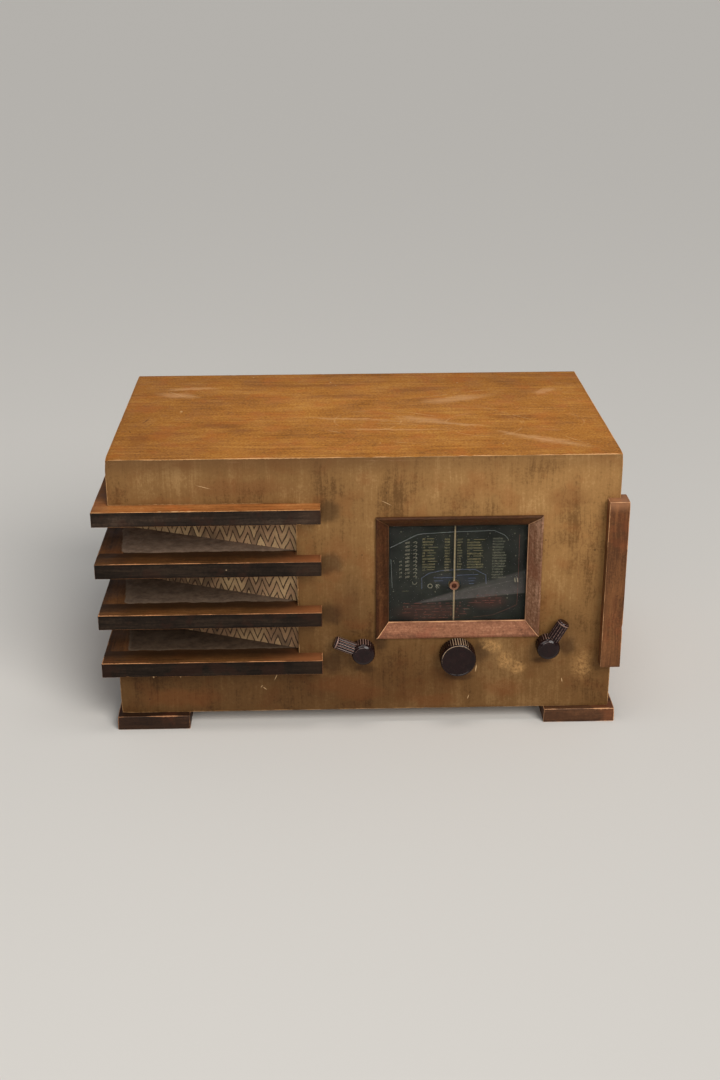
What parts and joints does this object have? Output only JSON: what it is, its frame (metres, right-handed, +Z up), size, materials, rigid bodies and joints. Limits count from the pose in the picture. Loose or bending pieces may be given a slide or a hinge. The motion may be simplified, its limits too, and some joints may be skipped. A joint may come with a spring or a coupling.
{
  "type": "tabletop radio",
  "caption": "Tabletop valve radio in a veneered wooden cabinet, with a corner speaker grille of wooden louvre rails, a square dial with a turning pointer, and lever and round knobs.",
  "frame": {"origin": "middle of the bounding box at the surface the feet stand on", "axes": "+X to the right of someone facing the dial, -Y out of the dial, +Z up"},
  "size_m": [0.501, 0.304, 0.2778],
  "materials": {
    "cabinet_veneer": "aged satin varnish over veneer",
    "bottom_ply": "bare plywood",
    "rail_wood": "varnished tops, darkened front faces",
    "shelf_paint": "matt dark paint on wood",
    "trim_wood": "aged satin varnish",
    "speaker_cloth": "woven cloth with a dark zig-zag",
    "dark_enamel": "satin enamel",
    "cone_paper": "matt pressed paper",
    "plated_steel": "dull plated steel",
    "dial_glass": "clear flat glass",
    "dial_print": "dark printed plate",
    "pointer_cream": "cream enamel",
    "brass": "tarnished",
    "bakelite": "polished dark moulding",
    "aluminium": "dull",
    "valve_glass": "clear blown glass",
    "black_moulding": "moulded",
    "fibreboard": "pressed board",
    "gland_rubber": "matt"
  },
  "bodies": {
    "cabinet": {"top_panel": "cabinet_veneer", "front_panel": "cabinet_veneer", "left_side_panel": "cabinet_veneer", "right_side_panel": "cabinet_veneer", "bottom_panel": "bottom_ply", "louvre_1_front": "rail_wood", "louvre_1_side": "rail_wood", "louvre_2_front": "rail_wood", "louvre_2_side": "rail_wood", "louvre_3_front": "rail_wood", "louvre_3_side": "rail_wood", "louvre_4_front": "rail_wood", "louvre_4_side": "rail_wood", "corner_shelf_1": "shelf_paint", "corner_shelf_2": "shelf_paint", "corner_shelf_3": "shelf_paint", "corner_shelf_4": "shelf_paint", "corner_strip": "trim_wood", "foot_left": "trim_wood", "foot_right": "trim_wood", "bezel_top": "trim_wood", "bezel_bottom": "trim_wood", "bezel_left": "trim_wood", "bezel_right": "trim_wood", "speaker_cloth": "speaker_cloth", "speaker_baffle": "bottom_ply", "speaker_basket": "dark_enamel", "speaker_magnet": "dark_enamel", "mains_transformer": "dark_enamel", "output_transformer": "dark_enamel", "speaker_cone": "cone_paper", "speaker_dust_cap": "cone_paper", "speaker_bolts": "plated_steel", "chassis_bolts": "plated_steel", "chassis": "plated_steel", "gang_frame": "plated_steel", "volume_control": "plated_steel", "waveband_switch": "plated_steel", "dial_glass": "dial_glass", "dial_plate": "dial_print", "back_cover_screws": "brass", "dial_lamps": "brass", "gang_stators": "aluminium", "if_cans": "aluminium", "smoothing_capacitor": "aluminium", "valve_bulbs": "valve_glass", "valve_bases": "black_moulding", "terminal_strip": "black_moulding", "back_cover": "fibreboard", "mains_gland": "gland_rubber"},
    "tuning_gang": {"gang_rotor": "aluminium", "drive_disc": "plated_steel", "pointer_hub": "brass", "dial_pointer": "pointer_cream"},
    "tuning_control": {"tuning_spindle": "plated_steel", "tuning_knob": "bakelite"},
    "volume_lever": {"volume_knob": "bakelite", "volume_spindle": "plated_steel"},
    "waveband_lever": {"waveband_knob": "bakelite", "waveband_spindle": "plated_steel"}
  },
  "joints": [
    {"name": "gang_turn", "type": "hinge", "parent": "cabinet", "child": "tuning_gang", "pos_m": [0.0897, -0.1345, 0.141], "axis": [0, 1, 0], "range_deg": [-90, 90]},
    {"name": "tuning_knob_turn", "type": "hinge", "parent": "cabinet", "child": "tuning_control", "pos_m": [0.0925, -0.1345, 0.075], "axis": [0, 1, 0], "range_deg": [-900, 900]},
    {"name": "volume_turn", "type": "hinge", "parent": "cabinet", "child": "volume_lever", "pos_m": [0.0009, -0.1345, 0.082], "axis": [0, 1, 0], "range_deg": [-73, 207]},
    {"name": "waveband_turn", "type": "hinge", "parent": "cabinet", "child": "waveband_lever", "pos_m": [0.1796, -0.1345, 0.0848], "axis": [0, 1, 0], "range_deg": [-60, 30]}
  ],
  "couplings": [
    {"joint": "tuning_knob_turn", "follows": "gang_turn", "ratio": -10}
  ]
}
